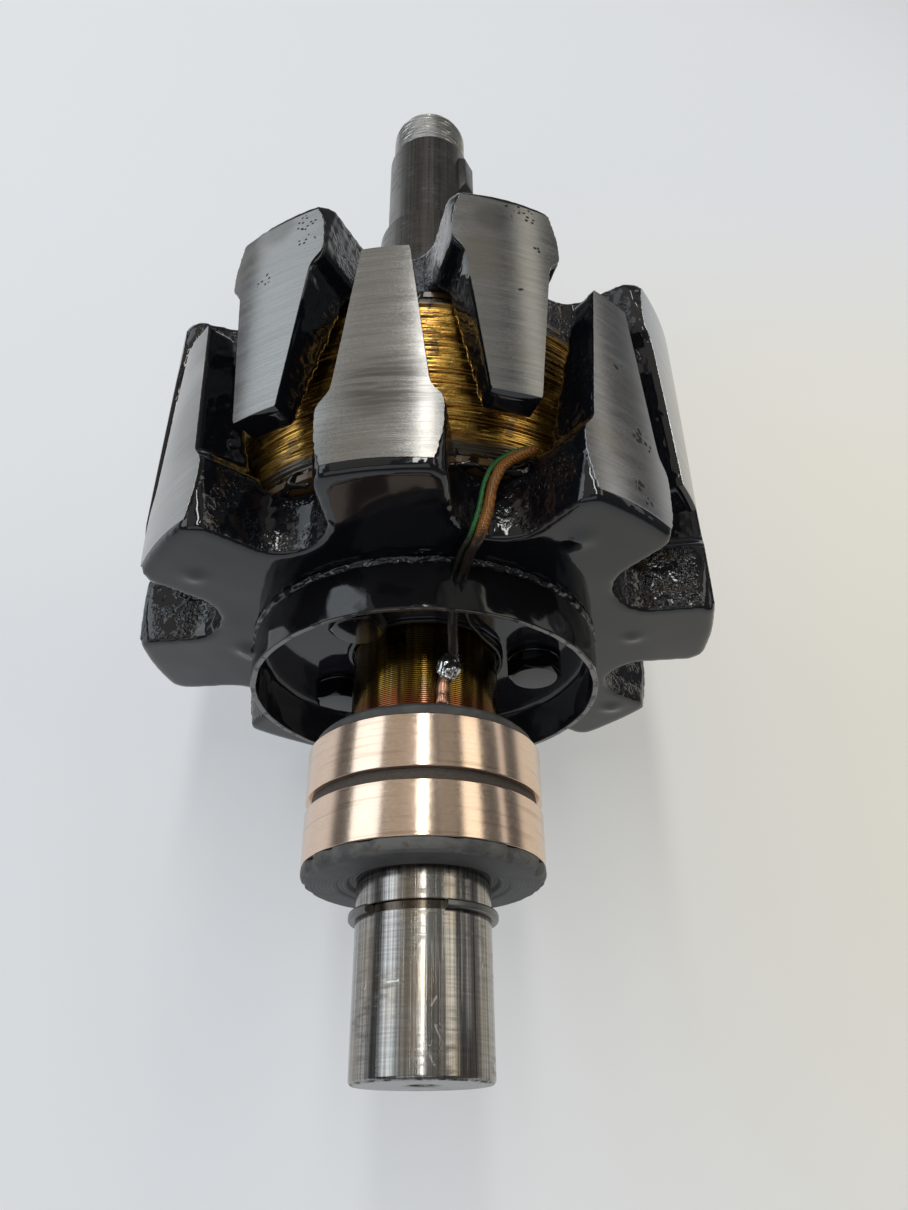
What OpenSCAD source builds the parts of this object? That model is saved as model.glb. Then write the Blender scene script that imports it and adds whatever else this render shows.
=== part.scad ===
// Claw-pole alternator rotor with slip rings, lying on its claws.
// Drawn on its own axis (z runs from the slip-ring end to the drive end, z = 0 where the
// ground claw faces of the slip-ring half begin) and then laid down along +Y by place().

/* [Claw poles] */
// Outside diameter over the ground claw faces
claw_outside_dia = 122; // [112:0.5:134]
// Claws on each half
claws_per_half = 8; // [6:1:8]
// Length between the outer ends of the ground faces
pole_length = 69.3; // [63:0.1:78]
// Ground length of one claw
claw_length = 52.7; // [45:0.1:57]
// Width of a claw at its tip
claw_tip_width = 9.4; // [7:0.1:11]
// Width of a claw above its shoulders
claw_shoulder_width = 17; // [14:0.1:19]
// Width of an arm of the star plate
arm_width = 22.4; // [20.5:0.1:23.5]
// Width of a claw where the ground face begins
claw_front_width = 18.6; // [17:0.1:20]
// Length over which the front corners of an arm are taken off
arm_corner_length = 8; // [5:0.1:10]
// Axial length of the shoulder from arm width to claw width
shoulder_length = 4.6; // [3.4:0.1:6]
// Radial thickness of a claw at its tip
claw_tip_thickness = 6; // [4:0.1:8]
// Radial thickness of a claw at its root
claw_root_thickness = 12; // [10:0.1:12.5]
// Fillet between the claw and the back of the star plate
claw_root_fillet = 2.6; // [1.6:0.1:3.4]
// Axial thickness of the star plate
plate_thickness = 13.9; // [12.6:0.05:15.2]
// How far the star plate stands out past the ground faces
plate_overhang = 1.9; // [1.2:0.05:3]
// Depth of the valleys between the arms
valley_depth = 17.6; // [15.5:0.1:19]

/* [Shaft] */
// Slip-ring end bearing journal diameter
slip_journal_dia = 25; // [22:0.1:26]
// Length of the journal outside the retaining ring
slip_journal_length = 26.3; // [22:0.1:31]
// Diameter that carries the pole halves
pole_seat_dia = 29; // [27:0.1:32]
// Drive end bearing seat diameter
bearing_seat_dia = 28; // [26:0.1:30]
// Pulley seat diameter
pulley_seat_dia = 24; // [23:0.1:25.8]
// Thread outside diameter
thread_dia = 22; // [20:0.1:22.8]
// Bearing seat end, from the drive-side star plate
bearing_seat_length = 61; // [52:0.1:70]
// Pulley seat length
pulley_seat_length = 38.3; // [33:0.1:44]
// Threaded length
thread_length = 15; // [12:0.1:20]
// Thrust collar diameter
thrust_collar_dia = 38; // [34:0.1:42]
// Thrust collar length
thrust_collar_length = 8; // [6:0.1:11]
// Centre hole diameter
centre_hole_dia = 7; // [5:0.1:9]

/* [Retaining ring and key] */
// Distance from the retaining ring to the slip-ring hub
circlip_to_hub = 5.1; // [4:0.1:7]
// Retaining ring thickness
circlip_thickness = 1.5; // [1.2:0.05:2]
// How far the retaining ring stands above the journal
circlip_stand = 1.3; // [0.9:0.05:2.4]
// Depth of the retaining ring groove
circlip_groove_depth = 0.8; // [0.5:0.05:1.1]
// Opening of the retaining ring in degrees
circlip_opening = 66; // [40:1:90]
// Key width
key_width = 5; // [4:0.1:6]
// Diameter of the disc the key is cut from
key_disc_dia = 19; // [16:0.1:22]
// How far the key stands above the seat
key_stand = 2; // [1.4:0.1:2.6]
// Distance from the key's middle to the thread
key_set_back = 13.2; // [11:0.1:16]

/* [Slip rings] */
// Insulation between the shaft and the slip rings
hub_wall = 7; // [6:0.1:8.4]
// Slip ring wall
ring_wall = 3.5; // [2.4:0.1:4.4]
// Slip ring width
ring_width = 10.1; // [9:0.1:11]
// Gap between the rings
ring_gap = 2.3; // [1.8:0.1:3.2]
// Depth of the groove between the rings
ring_groove_depth = 1.6; // [1:0.1:2]
// Thickness of the outer flange of the hub
flange_thickness = 2.6; // [2:0.1:3.4]
// Depth of the recess round the shaft in the hub's front face
hub_recess_depth = 1; // [0.6:0.1:1.6]
// Length of the hub behind the inner ring
hub_collar_length = 2.8; // [2.2:0.1:3.6]
// Distance from the hub to the star plate
hub_stand_off = 22.3; // [20.2:0.05:24.4]
// Wall of the insulating sleeve
sleeve_wall = 2.7; // [2:0.1:3.4]

/* [Seal cup] */
// Cup depth
cup_depth = 11.05; // [9.4:0.05:12.8]
// Cup sheet thickness
cup_wall = 1.2; // [1:0.05:1.6]
// Bend radius of the cup
cup_bend = 2; // [1.4:0.1:2.8]
// Room between the sleeve and the lip of the cup
lip_gap = 0.3; // [0.2:0.05:0.5]
// Room between the lip of the cup and the washers
washer_clearance = 1; // [0.7:0.1:1.6]
// Room between the washers and the cup wall
cup_margin = 5.7; // [4.6:0.1:7]
// Bolt head width across flats
bolt_head_width = 10; // [8.5:0.1:11]
// Bolt head height
bolt_head_height = 4; // [3:0.1:4.8]
// Bolt shank diameter
bolt_dia = 6; // [5:0.1:6.4]
// Length of bolt in the star plate
bolt_reach = 8; // [6:0.1:9.5]
// How far the washers stand out from the bolt heads
washer_rim = 0.8; // [0.5:0.1:1.2]
// Washer thickness
washer_thickness = 1.2; // [0.9:0.05:1.5]

/* [Field coil] */
// Room between the winding and the claws
coil_clearance = 1.5; // [1:0.1:2.4]
// Wall of the coil former
former_wall = 1.5; // [1:0.05:2]
// Share of the room between shaft and claws that the pole core takes, the coil taking the rest
core_share = 0.364; // [0.3:0.002:0.43]
// Diameter of the brown coil lead
brown_lead_dia = 2.2; // [1.7:0.05:2.6]
// Diameter of the green coil lead
green_lead_dia = 1; // [0.7:0.05:1.2]
// Diameter of the copper ring terminals
terminal_dia = 2.4; // [2:0.05:2.8]
// Length of the ring terminals outside the hub
terminal_length = 9.9; // [8.4:0.1:11.4]
// Room for the terminals above the sleeve
terminal_stand = 4.8; // [4.2:0.1:5.6]
// Thickness of solder round a terminal
solder_thickness = 0.8; // [0.5:0.05:1.1]

/* [Hidden] */
$fn = 96;

claw_r = claw_outside_dia / 2;
pitch = 360 / claws_per_half;
phase = -pitch / 4;
plate_front = -plate_overhang;
plate_back = plate_thickness - plate_overhang;
drive_front = pole_length + plate_overhang;
drive_back = pole_length - plate_back;

// The valley floor is a little wider than a circle that would just touch both arms.
arm_w = arm_width / 2;
valley_r = claw_r - valley_depth;
touch_r = (valley_r - arm_w) / (1 - sin(pitch / 2));
valley_round = (touch_r - valley_r) * 1.03;
disc_r = norm([touch_r * cos(pitch / 2), arm_w]) - 0.4;

journal_r = slip_journal_dia / 2;
seat_r = pulley_seat_dia / 2;
sleeve_r = journal_r + sleeve_wall;
bed_r = journal_r + hub_wall;
ring_r = bed_r + ring_wall;
hub_end = plate_front - hub_stand_off;
inner_ring_back = hub_end - hub_collar_length;
inner_ring_front = inner_ring_back - ring_width;
outer_ring_back = inner_ring_front - ring_gap;
outer_ring_front = outer_ring_back - ring_width;
hub_front = outer_ring_front - flange_thickness;
groove_z = hub_front - circlip_to_hub - circlip_thickness;
groove_r = journal_r - circlip_groove_depth;
slip_end = groove_z - slip_journal_length;
bearing_end = drive_front + bearing_seat_length;
pulley_end = bearing_end + pulley_seat_length;
drive_end = pulley_end + thread_length;
middle = (slip_end + drive_end) / 2;

coil_r = claw_r - claw_root_thickness - coil_clearance;
core_r = pole_seat_dia / 2 + (coil_r - pole_seat_dia / 2) * core_share;
lip_r = sleeve_r + lip_gap;
lip_wall = 1;
washer_r = bolt_head_width / 2 + washer_rim;
bolt_r = lip_r + lip_wall + washer_clearance + washer_r;
cup_r = bolt_r + washer_r + cup_margin + cup_wall;
cup_floor = plate_front - cup_wall;
cup_rim = plate_front - cup_depth;
right_bolt = 87;
upper_bolt = -38;
lower_bolt = -129;
key_turn = 55.5;
key_mid = pulley_end - key_set_back;
joint_r = sleeve_r + terminal_stand;
joint_z = hub_end + terminal_length;
joint_turn = 11;

// Lays the rotor down: its axis along +Y at claw radius above the ground, up at angle 0.
module place() translate([0, -middle, claw_r]) rotate([-90, 0, 0]) children();

// Turns something drawn on the -y side to an angle measured from straight up.
module turned(a) rotate([0, 0, a]) children();

module ring(r1, r2, z1, z2) rotate_extrude() polygon([[r1, z1], [r2, z1], [r2, z2], [r1, z2]]);

// A ring with its outer edges broken.
module eased_ring(r1, r2, z1, z2, e) rotate_extrude() polygon([[r1, z1], [r2 - e, z1], [r2, z1 + e],
  [r2, z2 - e], [r2 - e, z2], [r1, z2]]);

// Outline of one claw seen from outside, as half widths along the axis: arm, shoulder, claw.
shoulder_w = claw_shoulder_width / 2;
shoulder_drop = arm_w - shoulder_w;
shoulder_z = plate_back + shoulder_length * 0.2;
function claw_sides() = [[arm_w, plate_front - 1], [arm_w, shoulder_z],
  [arm_w - shoulder_drop * 0.12, shoulder_z + shoulder_length * 0.25],
  [arm_w - shoulder_drop * 0.6, shoulder_z + shoulder_length * 0.55],
  [arm_w - shoulder_drop * 0.9, shoulder_z + shoulder_length * 0.8],
  [shoulder_w, shoulder_z + shoulder_length],
  [claw_tip_width / 2, claw_length], [claw_tip_width / 2 - 0.1, claw_length + 1]];
function both_sides(s) = concat(s, [for (i = [len(s) - 1:-1:0]) [-s[i][0], s[i][1]]]);

module claw_outline() rotate([90, 0, 0]) linear_extrude(height = claw_r + 4)
  polygon(both_sides(claw_sides()));

// Section of arm and claw on one side of the axis. It starts well inside the disc.
arm_start = valley_r - 8;
module claw_section() rotate_extrude() polygon([[arm_start, plate_front],
  [claw_r - 1.1, plate_front], [claw_r - 0.4, plate_front * 0.75], [claw_r - 0.1, plate_front * 0.4],
  [claw_r, 0], [claw_r, claw_length - 1], [claw_r - 0.3, claw_length - 0.3],
  [claw_r - 1, claw_length], [claw_r - claw_tip_thickness, claw_length],
  [claw_r - claw_root_thickness, plate_back + claw_root_fillet],
  [claw_r - claw_root_thickness - claw_root_fillet * 0.3, plate_back + claw_root_fillet * 0.3],
  [claw_r - claw_root_thickness - claw_root_fillet, plate_back], [arm_start, plate_back]]);

// The plane that takes off one front corner of an arm, through three points of its edges.
function corner_spots(s) = let (a = claw_front_width / 2, b = arm_w - 0.3)
  [[s * a, -sqrt(claw_r * claw_r - a * a), 0],
   [s * b, -sqrt(claw_r * claw_r - b * b), arm_corner_length],
   [s * arm_w, -claw_r + 3.8, plate_front]];
module corner_cut(s) {
  p = corner_spots(s);
  n0 = cross(p[1] - p[0], p[2] - p[0]);
  n = n0 / norm(n0) * (n0[0] * s < 0 ? -1 : 1);
  translate(p[0]) rotate([0, -asin(n[2]), atan2(n[1], n[0])])
    translate([0, -14, -14]) cube([9, 28, 28]);
}

module claw() difference() {
  intersection() { claw_section(); claw_outline(); }
  corner_cut(1);
  corner_cut(-1);
}

// One pole half: a forged star plate with its claws.
module pole_half() difference() {
  union() {
    difference() {
      translate([0, 0, plate_front]) cylinder(r = disc_r, h = plate_thickness);
      for (i = [0:claws_per_half - 1]) turned(phase + pitch * (i + 0.5))
        translate([0, -valley_r - valley_round, plate_front - 1])
          cylinder(r = valley_round, h = plate_thickness + 2);
    }
    for (i = [0:claws_per_half - 1]) turned(phase + pitch * i) claw();
  }
  translate([0, 0, plate_front - 1]) cylinder(d = pole_seat_dia, h = plate_thickness + 2);
}

module bolt_spot(a) turned(a) translate([0, -bolt_r, 0]) children();

module slip_end_pole() color("#15161a") place() difference() {
  pole_half();
  for (a = [right_bolt, upper_bolt, lower_bolt])
    bolt_spot(a) translate([0, 0, plate_front - 1]) cylinder(d = bolt_dia, h = bolt_reach + 2);
}

module drive_end_pole() color("#15161a") place()
  translate([0, 0, pole_length]) rotate([0, 180, 0]) pole_half();

module pole_core() color("#2b2b2c") place()
  ring(pole_seat_dia / 2, core_r, plate_back, drive_back);

former_r = coil_r - 1.2;
module coil_former() color("#3a2a18") place() rotate_extrude() polygon([
  [core_r, plate_back], [former_r, plate_back], [former_r, plate_back + former_wall],
  [core_r + former_wall, plate_back + former_wall], [core_r + former_wall, drive_back - former_wall],
  [former_r, drive_back - former_wall], [former_r, drive_back], [core_r, drive_back]]);

coil_near = plate_back + former_wall;
coil_far = drive_back - former_wall;
module field_coil() color("#b4791f") place() rotate_extrude() polygon([
  [core_r + former_wall, coil_near], [coil_r - 1.8, coil_near], [coil_r - 0.4, coil_near + 1.4],
  [coil_r, coil_near + 3], [coil_r, coil_far - 3], [coil_r - 0.4, coil_far - 1.4],
  [coil_r - 1.8, coil_far], [core_r + former_wall, coil_far]]);

module key_blank() turned(key_turn) translate([0, -seat_r - key_stand + key_disc_dia * 0.4, key_mid])
  rotate([0, 90, 0]) translate([0, 0, -key_width / 2]) difference() {
    cylinder(d = key_disc_dia, h = key_width);
    translate([-key_disc_dia, -key_disc_dia * 1.4, -1])
      cube([key_disc_dia * 2, key_disc_dia, key_width + 2]);
  }

module shaft_key() color("#3b3a38") place() key_blank();

// Centre drilling of one shaft end: a short hole with a 60 degree mouth.
module centre_hole() {
  cylinder(d = centre_hole_dia * 0.5, h = centre_hole_dia * 1.4);
  cylinder(d1 = centre_hole_dia, d2 = 0, h = centre_hole_dia * 0.866);
}

collar_end = drive_front + thrust_collar_length;
relief_r = thread_dia / 2 - 1.2;
module shaft() color("#8c8f93") place() difference() {
  rotate_extrude() polygon([[0, slip_end], [journal_r - 1, slip_end], [journal_r, slip_end + 1],
    [journal_r, groove_z], [groove_r, groove_z], [groove_r, groove_z + circlip_thickness],
    [journal_r, groove_z + circlip_thickness], [journal_r, plate_front],
    [pole_seat_dia / 2, plate_front], [pole_seat_dia / 2, drive_front],
    [thrust_collar_dia / 2, drive_front], [thrust_collar_dia / 2, collar_end - 1],
    [thrust_collar_dia / 2 - 1, collar_end],
    [bearing_seat_dia / 2, collar_end], [bearing_seat_dia / 2, bearing_end - 0.8],
    [seat_r, bearing_end], [seat_r, pulley_end - 0.6], [seat_r - 0.6, pulley_end],
    [relief_r, pulley_end], [relief_r, pulley_end + 1.6], [thread_dia / 2, pulley_end + 2.4],
    [thread_dia / 2, drive_end - 1.6], [thread_dia / 2 - 1.6, drive_end], [0, drive_end]]);
  key_blank();
  translate([0, 0, slip_end]) centre_hole();
  translate([0, 0, drive_end]) rotate([180, 0, 0]) centre_hole();
}

circlip_r = journal_r + circlip_stand;
module circlip() color("#3c3d40") place() difference() {
  ring(groove_r, circlip_r, groove_z, groove_z + circlip_thickness);
  turned(-18.5) translate([0, 0, groove_z - 1]) linear_extrude(height = circlip_thickness + 2)
    polygon([[0, 0], [-40 * tan(circlip_opening / 2), -40], [40 * tan(circlip_opening / 2), -40]]);
}

// Moulded hub: flange with a ridged front, two ring beds with a groove between, rear collar.
module slip_ring_hub() color("#2a2b2c") place() rotate_extrude() polygon([
  [journal_r, hub_front + hub_recess_depth], [journal_r + 1.5, hub_front + hub_recess_depth],
  [journal_r + 1.9, hub_front + hub_recess_depth * 0.3],
  [journal_r + 3.6, hub_front + hub_recess_depth * 0.3],
  [journal_r + 4, hub_front], [ring_r - 1.3, hub_front], [ring_r - 0.3, hub_front + 0.6],
  [ring_r, hub_front + 1.3], [ring_r, outer_ring_front], [bed_r, outer_ring_front],
  [bed_r, outer_ring_back], [ring_r - ring_groove_depth, outer_ring_back],
  [ring_r - ring_groove_depth, inner_ring_front], [bed_r, inner_ring_front],
  [bed_r, inner_ring_back], [ring_r - 1.2, inner_ring_back], [ring_r - 1.2, hub_end - 0.8],
  [ring_r - 2, hub_end], [journal_r, hub_end]]);

module slip_ring_outer() color("#c89a78") place()
  eased_ring(bed_r, ring_r, outer_ring_front, outer_ring_back, 0.2);

module slip_ring_inner() color("#c89a78") place()
  eased_ring(bed_r, ring_r, inner_ring_front, inner_ring_back, 0.2);

module insulating_sleeve() color("#5a3a10") place()
  ring(journal_r, sleeve_r, hub_end, plate_front);

// Pressed cup: floor with a lip round the sleeve, bend, wall.
cup_in = cup_r - cup_wall;
in_bend = cup_bend - cup_wall * 0.4;
lead_hole_z = plate_front - 2.6;
module seal_cup() color("#101114") place() difference() {
  rotate_extrude() polygon([[lip_r, plate_front], [cup_r - cup_bend, plate_front],
    [cup_r - cup_bend * 0.38, plate_front - cup_bend * 0.22],
    [cup_r - cup_bend * 0.08, plate_front - cup_bend * 0.62], [cup_r, plate_front - cup_bend * 1.1],
    [cup_r, cup_rim + 0.2], [cup_r - 0.3, cup_rim], [cup_in + 0.2, cup_rim], [cup_in, cup_rim + 0.2],
    [cup_in, cup_floor - in_bend], [cup_in - in_bend * 0.3, cup_floor - in_bend * 0.3],
    [cup_in - in_bend, cup_floor], [lip_r + lip_wall, cup_floor],
    [lip_r + lip_wall, cup_floor - 0.9], [lip_r, cup_floor - 0.9]]);
  for (a = [right_bolt, upper_bolt, lower_bolt])
    bolt_spot(a) translate([0, 0, cup_floor - 1]) cylinder(d = bolt_dia, h = cup_wall + 2);
  turned(7) translate([0, -cup_r + 6, lead_hole_z]) rotate([90, 0, 0]) cylinder(r = 2.1, h = 10);
}

// Hexagon head with its corners turned off, and the shank into the star plate.
head_z = cup_floor - washer_thickness - bolt_head_height;
module cup_bolt(a) bolt_spot(a) union() {
  intersection() {
    translate([0, 0, head_z]) rotate([0, 0, 30])
      cylinder(d = bolt_head_width / cos(30), h = bolt_head_height, $fn = 6);
    translate([0, 0, head_z]) cylinder(r1 = bolt_head_width / 2 * 0.94,
      r2 = bolt_head_width / 2 * 0.94 + bolt_head_height * 1.7, h = bolt_head_height);
  }
  translate([0, 0, cup_floor - washer_thickness - 0.5])
    cylinder(d = bolt_dia, h = bolt_reach + cup_wall + washer_thickness + 0.5);
}
module cup_washer(a) bolt_spot(a) difference() {
  translate([0, 0, cup_floor - washer_thickness]) cylinder(r = washer_r, h = washer_thickness);
  translate([0, 0, cup_floor - washer_thickness - 1]) cylinder(d = bolt_dia, h = washer_thickness + 2);
}

module cup_bolt_right() color("#17181b") place() cup_bolt(right_bolt);
module cup_bolt_upper() color("#17181b") place() cup_bolt(upper_bolt);
module cup_bolt_lower() color("#17181b") place() cup_bolt(lower_bolt);
module cup_washer_right() color("#17181b") place() cup_washer(right_bolt);
module cup_washer_upper() color("#17181b") place() cup_washer(upper_bolt);
module cup_washer_lower() color("#17181b") place() cup_washer(lower_bolt);

// A round tube along points given as [radius, z, angle].
function spot(p) = [p[0] * sin(p[2]), -p[0] * cos(p[2]), p[1]];
function bend(a, b, c, d, t) = 0.5 * (2 * b + (c - a) * t + (2 * a - 5 * b + 4 * c - d) * t * t
  + (3 * b - a - 3 * c + d) * t * t * t);
function smooth(p, k) = [for (i = [0:len(p) - 2]) for (j = [0:k - 1])
  bend(p[max(0, i - 1)], p[i], p[i + 1], p[min(len(p) - 1, i + 2)], j / k), p[len(p) - 1]];
function unit(v) = v / norm(v);
function way(p, i) = unit(p[min(len(p) - 1, i + 1)] - p[max(0, i - 1)]);
function side(t, s) = unit(s - t * (s * t));
function sides_of(p, i, s) = i >= len(p) ? [] :
  let (n = side(way(p, i), s)) concat([n], sides_of(p, i + 1, n));
module tube(path, r, n = 8) {
  p = smooth([for (q = path) spot(q)], 4);
  ns = sides_of(p, 0, [0.31, 0.52, 0.79]);
  points = [for (i = [0:len(p) - 1]) let (t = way(p, i), u = ns[i], v = cross(t, u))
    for (k = [0:n - 1]) p[i] + r * (cos(360 * k / n) * u + sin(360 * k / n) * v)];
  last = (len(p) - 1) * n;
  polyhedron(points, concat([[for (k = [0:n - 1]) k]], [[for (k = [n - 1:-1:0]) last + k]],
    [for (i = [0:len(p) - 2]) for (k = [0:n - 1])
      [i * n + k, (i + 1) * n + k, (i + 1) * n + (k + 1) % n, i * n + (k + 1) % n]]));
}

// The leads leave the coil, dip into the valley, cross the star plate and enter the cup by its hole.
lead_bed = coil_r + brown_lead_dia / 2 + 0.1;
front_bed = plate_front - brown_lead_dia / 2 - 0.15;
over_r = max(valley_r + 1, cup_r + 2.4);
function dip(k) = lead_bed + (over_r - lead_bed) * k;
function deep(k) = plate_front + plate_thickness * k;
function drop_r(k) = cup_in - 2.2 + (joint_r + 1.9 - cup_in + 2.2) * k;
function drop_z(k) = lead_hole_z - 0.6 + (joint_z + 0.5 - lead_hole_z) * k;
lead_side = (brown_lead_dia + green_lead_dia) / 2 + 0.06;
function beside(r, a, k) = a - k * lead_side / r * 180 / PI;
function lead_start(k) = [for (p = [[lead_bed, plate_back + 4.6, 21.5], [lead_bed, plate_back + 2.2, 17.2],
  [dip(0.13), plate_back, 14], [dip(0.25), deep(0.84), 12.2], [dip(0.38), deep(0.6), 10.9],
  [dip(0.5), deep(0.37), 10.3], [dip(0.6), deep(0.12), 9.4], [over_r, front_bed, 8.4]])
  [p[0], p[1], beside(p[0], p[2], k)]];
mid_r = (over_r + cup_r) / 2;

module coil_lead_brown() color("#6b3d18") place() tube(concat(lead_start(0), [
  [mid_r, front_bed - 0.4, 7.7], [cup_r, lead_hole_z, 7.6],
  [cup_in - 2.2, lead_hole_z - 0.6, 7.4], [drop_r(0.3), drop_z(0.4), 6.4], [drop_r(0.68), drop_z(0.79), 8],
  [joint_r + 1.9, joint_z - 0.1, joint_turn]]), brown_lead_dia / 2);

round_r = sleeve_r + 0.9;
round_z = cup_floor - 1.7;
module coil_lead_green() color("#2e5a2c") place() tube(concat(lead_start(1), [
  [mid_r, front_bed - 0.4, beside(mid_r, 7.7, 1)], [cup_r, lead_hole_z, beside(cup_r, 7.6, 1)],
  [cup_in - 2.2, cup_floor - 1, 4.6], [(cup_in + joint_r) / 2, cup_floor - 1.4, 10],
  [joint_r - 0.4, round_z, 22], [round_r, round_z, 45], [round_r, round_z, 67], [round_r, round_z, 90],
  [round_r, round_z, 112], [round_r, round_z, 135], [round_r, round_z - 0.3, 158],
  [round_r + 0.7, (round_z + joint_z) / 2, 178], [joint_r - 0.6, joint_z + 2.4, 188],
  [joint_r, joint_z + 1.9, 180 + joint_turn]]), green_lead_dia / 2);

// The copper terminals leave the hub and end in the solder.
function out(k) = hub_end + terminal_length * k;
module terminal(a) tube([[joint_r - 0.6, hub_end, a - 5], [joint_r - 0.6, out(0.28), a - 5],
  [joint_r - 0.4, out(0.56), a - 4.4], [joint_r - 0.2, out(0.76), a - 2],
  [joint_r, joint_z, a]], terminal_dia / 2, 12);
module solder(a) difference() {
  turned(a) translate([0, -joint_r, joint_z]) sphere(r = terminal_dia / 2 + solder_thickness, $fn = 32);
  terminal(a);
}
module terminal_top() color("#c27a55") place() terminal(joint_turn);
module terminal_bottom() color("#c27a55") place() terminal(180 + joint_turn);
module solder_top() color("#b9bcc0") place() solder(joint_turn);
module solder_bottom() color("#b9bcc0") place() solder(180 + joint_turn);

shaft();
shaft_key();
circlip();
slip_end_pole();
drive_end_pole();
pole_core();
coil_former();
field_coil();
slip_ring_hub();
slip_ring_outer();
slip_ring_inner();
insulating_sleeve();
seal_cup();
cup_bolt_right();
cup_bolt_upper();
cup_bolt_lower();
cup_washer_right();
cup_washer_upper();
cup_washer_lower();
coil_lead_brown();
coil_lead_green();
terminal_top();
terminal_bottom();
solder_top();
solder_bottom();
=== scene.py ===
import math

import bmesh
import bpy
import numpy as np
from mathutils import Matrix, Vector


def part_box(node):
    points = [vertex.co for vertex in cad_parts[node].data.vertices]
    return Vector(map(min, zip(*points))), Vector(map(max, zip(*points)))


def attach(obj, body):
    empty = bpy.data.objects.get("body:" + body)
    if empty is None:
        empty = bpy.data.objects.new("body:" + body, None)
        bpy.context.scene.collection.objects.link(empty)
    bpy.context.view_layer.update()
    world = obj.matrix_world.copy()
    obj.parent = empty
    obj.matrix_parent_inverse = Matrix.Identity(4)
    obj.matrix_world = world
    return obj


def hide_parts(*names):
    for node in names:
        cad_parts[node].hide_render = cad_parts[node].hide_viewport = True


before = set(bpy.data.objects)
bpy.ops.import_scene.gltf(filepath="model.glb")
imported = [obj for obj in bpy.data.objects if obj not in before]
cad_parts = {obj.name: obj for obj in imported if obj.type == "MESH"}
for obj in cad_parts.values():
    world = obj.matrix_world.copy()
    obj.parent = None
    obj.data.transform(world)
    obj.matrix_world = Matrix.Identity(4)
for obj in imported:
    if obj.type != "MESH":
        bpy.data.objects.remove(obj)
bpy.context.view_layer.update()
scene = bpy.context.scene
shaftLow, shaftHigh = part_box("shaft")
axisHeight = 500 * (shaftLow.z + shaftHigh.z)  # mm, shaft axis over the table


def span(node):  # first y, last y and half width of a node, in mm
    low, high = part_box(node)
    return low.y * 1000, high.y * 1000, (high.x - low.x) * 500


def around(turn, radius, y):  # degrees from straight up and mm, to metres
    swing = np.radians(turn)
    spots = np.broadcast_arrays(radius * np.sin(swing), y, axisHeight + radius * np.cos(swing))
    return np.stack(spots, -1) * 0.001


def ripple(points, size, seed, waves=10):  # soft seeded lumps of about that size, in mm
    rng = np.random.default_rng(seed)
    ways = rng.normal(size=(waves, 3))
    ways /= np.linalg.norm(ways, axis=1)[:, None]
    total = 0
    for way, bend, start in zip(ways, rng.uniform(0.7, 1.5, waves), rng.uniform(0, 6.28, waves)):
        total = total + np.sin(points @ way * (6.28 * bend / size) + start)
    return total / math.sqrt(waves)


def gridFaces(rows, columns, wrapRows, wrapColumns):
    i = np.arange(rows if wrapRows else rows - 1)[:, None]
    j = np.arange(columns if wrapColumns else columns - 1)[None, :]
    a = i * columns + j
    b = i * columns + (j + 1) % columns
    c = (i + 1) % rows * columns + (j + 1) % columns
    d = (i + 1) % rows * columns + j
    return np.stack([a, b, c, d], -1).reshape(-1, 4)


def eased(corners, reach, steps=4):  # rounds the corners of a profile; a third number sets its own reach
    count = len(corners)
    loop = []
    for i, corner in enumerate(corners):
        here = np.array(corner[:2], float)
        back = np.array(corners[i - 1][:2], float) - here
        ahead = np.array(corners[(i + 1) % count][:2], float) - here
        wanted = corner[2] if len(corner) > 2 else reach
        room = min(wanted, 0.48 * np.linalg.norm(back), 0.48 * np.linalg.norm(ahead))
        if room < 1e-4 or here[0] < 1e-6:
            loop.append(here)
            continue
        first = here + back / np.linalg.norm(back) * room
        last = here + ahead / np.linalg.norm(ahead) * room
        for k in range(steps + 1):
            t = k / steps
            loop.append((1 - t) ** 2 * first + 2 * t * (1 - t) * here + t * t * last)
    return np.array(loop)


def addPiece(name, points, faces, finishes, node=None, slot=None, sharp=38, marks=None):
    mesh = bpy.data.meshes.new(name)
    mesh.from_pydata(np.asarray(points).tolist(), [], [list(f) for f in faces])
    for finish in finishes if isinstance(finishes, (list, tuple)) else [finishes]:
        mesh.materials.append(finish)
    if marks is not None:
        mesh.polygons.foreach_set("material_index", np.asarray(marks, np.int32))
    work = bmesh.new()
    work.from_mesh(mesh)
    bmesh.ops.remove_doubles(work, verts=work.verts, dist=2e-7)
    bmesh.ops.recalc_face_normals(work, faces=work.faces)
    work.to_mesh(mesh)
    work.free()
    return settlePiece(name, mesh, node, sharp)


def settlePiece(name, mesh, node, sharp):
    mesh.shade_smooth()
    mesh.set_sharp_from_angle(angle=math.radians(sharp))
    piece = bpy.data.objects.new(name, mesh)
    scene.collection.objects.link(piece)
    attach(piece, "root")
    if node:
        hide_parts(node)
    return piece


def spun(name, loop, finish, segments=192, shape=None, hollow=True, **more):  # a profile of (radius, y) turned
    loop = np.asarray(loop, float)
    turn = np.arange(segments) * 360 / segments
    radius, y, swing = np.broadcast_arrays(loop[:, 0, None], loop[:, 1, None], turn[None, :])
    if shape:
        radius, y = shape(radius, y, swing)
    faces = gridFaces(len(loop), segments, hollow, True)
    return addPiece(name, around(swing, radius, y).reshape(-1, 3), faces, finish, **more)


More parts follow.
